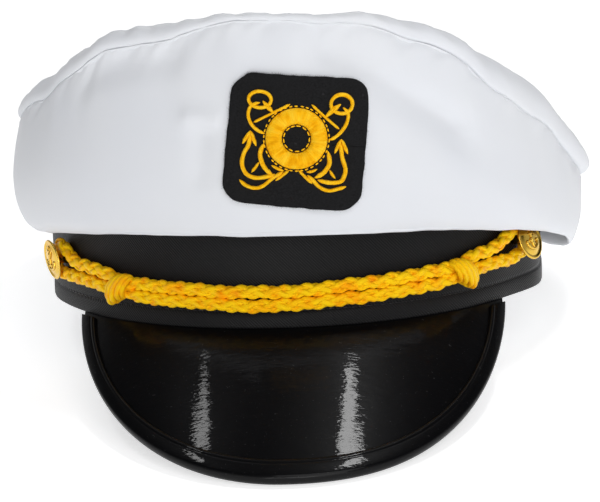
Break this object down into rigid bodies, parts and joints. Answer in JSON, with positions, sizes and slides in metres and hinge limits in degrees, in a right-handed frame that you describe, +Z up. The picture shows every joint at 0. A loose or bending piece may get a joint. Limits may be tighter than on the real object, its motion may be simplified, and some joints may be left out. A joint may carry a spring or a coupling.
{
  "type": "captain hat",
  "caption": "Soft white peaked yacht cap on a black band, with a glossy black peak, a knotted gold cord between gilt buttons and an embroidered anchor patch.",
  "frame": {"origin": "middle of the bounding box, on the floor that the hat rests on", "axes": "+Z up, -Y to the front of the hat, +X to the right of someone who looks at its front"},
  "size_m": [0.215, 0.2894, 0.1357],
  "materials": {
    "crown_cloth": "smooth satin-matt white cloth",
    "band_twill": "black twill with a diagonal rib",
    "peak_patent": "high-gloss black patent",
    "gold_cord": "braided golden-yellow cord with a silky sheen",
    "gilt": "polished gilt metal",
    "badge_felt": "black felt",
    "gold_thread": "satin-stitched golden thread"
  },
  "bodies": {
    "root": {"crown_side": "crown_cloth", "crown_top": "crown_cloth", "band": "band_twill", "peak": "peak_patent", "peak_binding": "peak_patent", "cord_upper": "gold_cord", "cord_lower": "gold_cord", "cord_loop_left": "gold_cord", "cord_loop_right": "gold_cord", "knot_left": "gold_cord", "knot_right": "gold_cord", "button_left": "gilt", "button_right": "gilt", "badge_patch": "badge_felt", "badge_ring": "gold_thread", "badge_anchor_left": "gold_thread", "badge_anchor_right": "gold_thread", "badge_fluke_left": "gold_thread", "badge_fluke_right": "gold_thread"}
  },
  "joints": []
}
